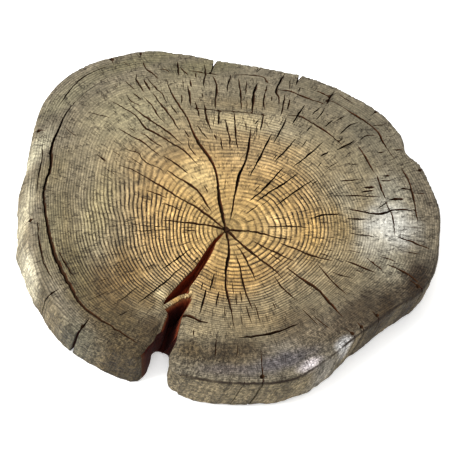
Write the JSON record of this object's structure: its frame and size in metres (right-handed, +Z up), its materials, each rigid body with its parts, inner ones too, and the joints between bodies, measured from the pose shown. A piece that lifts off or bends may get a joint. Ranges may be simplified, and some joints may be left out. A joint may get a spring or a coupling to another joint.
{
  "type": "wood slice",
  "caption": "Weathered slice cut across a log, bare of bark, with drying checks and one open split from the pith to the rim.",
  "frame": {"origin": "middle of the footprint on the underside", "axes": "+Z up, normal to the sawn faces; +X across the widest part; the open split points towards -Y and slightly -X"},
  "size_m": [0.3304, 0.3194, 0.034],
  "materials": {
    "weathered_wood": "bare weathered wood, honey brown at the heart and silver grey at the rim"
  },
  "bodies": {
    "root": {"wood_slice": "weathered_wood"}
  },
  "joints": []
}
